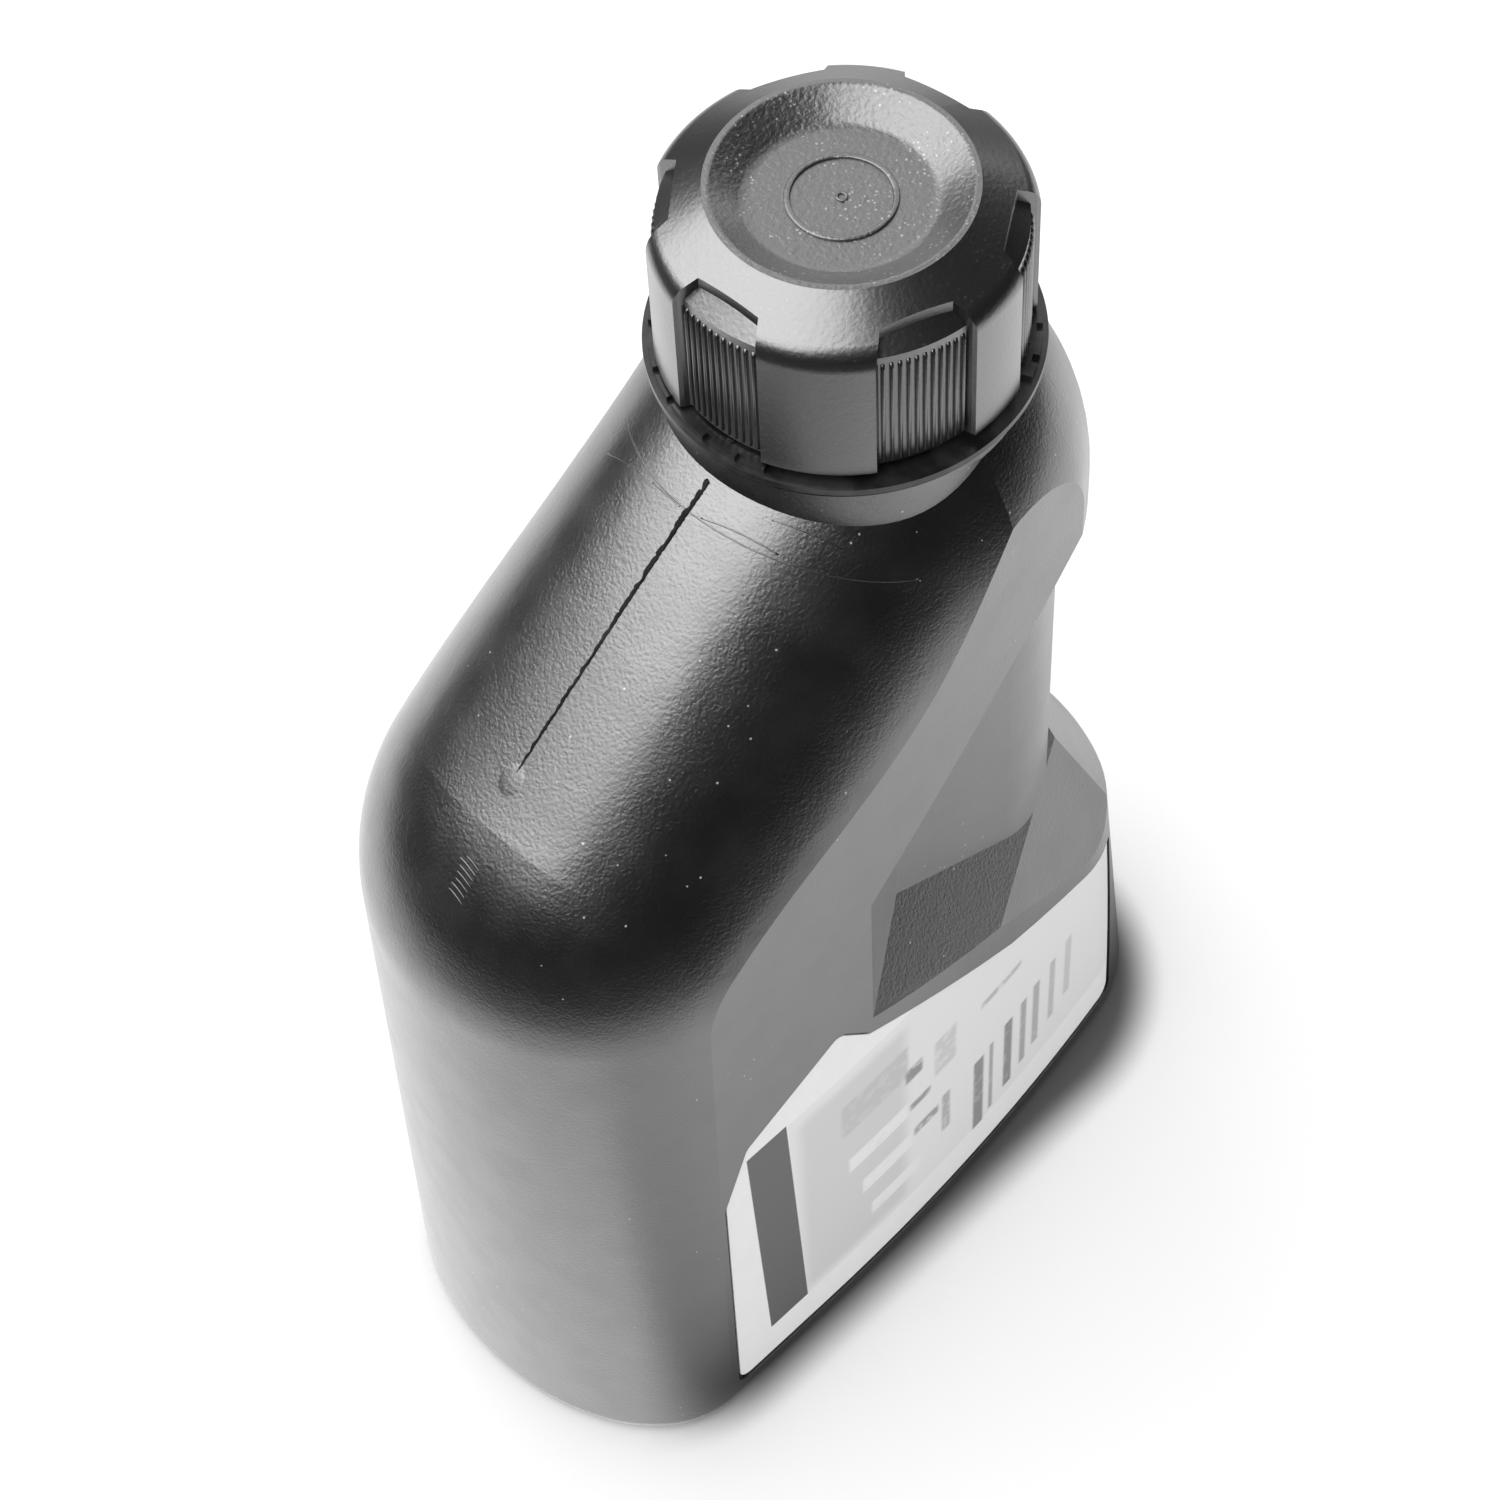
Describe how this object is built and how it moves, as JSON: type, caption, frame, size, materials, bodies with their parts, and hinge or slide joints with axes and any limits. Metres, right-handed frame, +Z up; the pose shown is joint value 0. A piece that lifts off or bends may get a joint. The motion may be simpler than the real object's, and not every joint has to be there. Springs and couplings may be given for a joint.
{
  "type": "motor oil bottle",
  "caption": "Upright blow-moulded oil bottle with an arched sloping shoulder, a grip waist, recessed label panels and a screw cap with a tamper ring.",
  "frame": {"origin": "bottom centre of the bounding box, on the ground plane", "axes": "+Z up, +X from the rounded front end towards the neck and grip end, +Y to the left side face"},
  "size_m": [0.139, 0.0682, 0.2227],
  "materials": {
    "bottle_plastic": "black polyethylene, fine leather grain on the shoulder, smoother sides",
    "cap_plastic": "dark grey polypropylene, satin",
    "ring_plastic": "black polypropylene, satin",
    "label_film": "white label film with pale print fields",
    "wad_foam": "white foamed liner"
  },
  "bodies": {
    "pack": {"bottle": "bottle_plastic", "tamper_ring": "ring_plastic", "label_left": "label_film", "label_right": "label_film"},
    "liner": {"wad": "wad_foam"},
    "closure": {"cap": "cap_plastic"}
  },
  "joints": [
    {"name": "cap_rise", "type": "slide", "parent": "pack", "child": "liner", "axis": [0, 0, 1], "range_m": [0, 0.0151]},
    {"name": "cap_turn", "type": "hinge", "parent": "liner", "child": "closure", "pos_m": [0.0179, 0, 0.21], "axis": [0, 0, 1], "range_deg": [0, 900]}
  ],
  "couplings": [
    {"joint": "cap_rise", "follows": "cap_turn", "m_per_rad": 0.00095493}
  ]
}
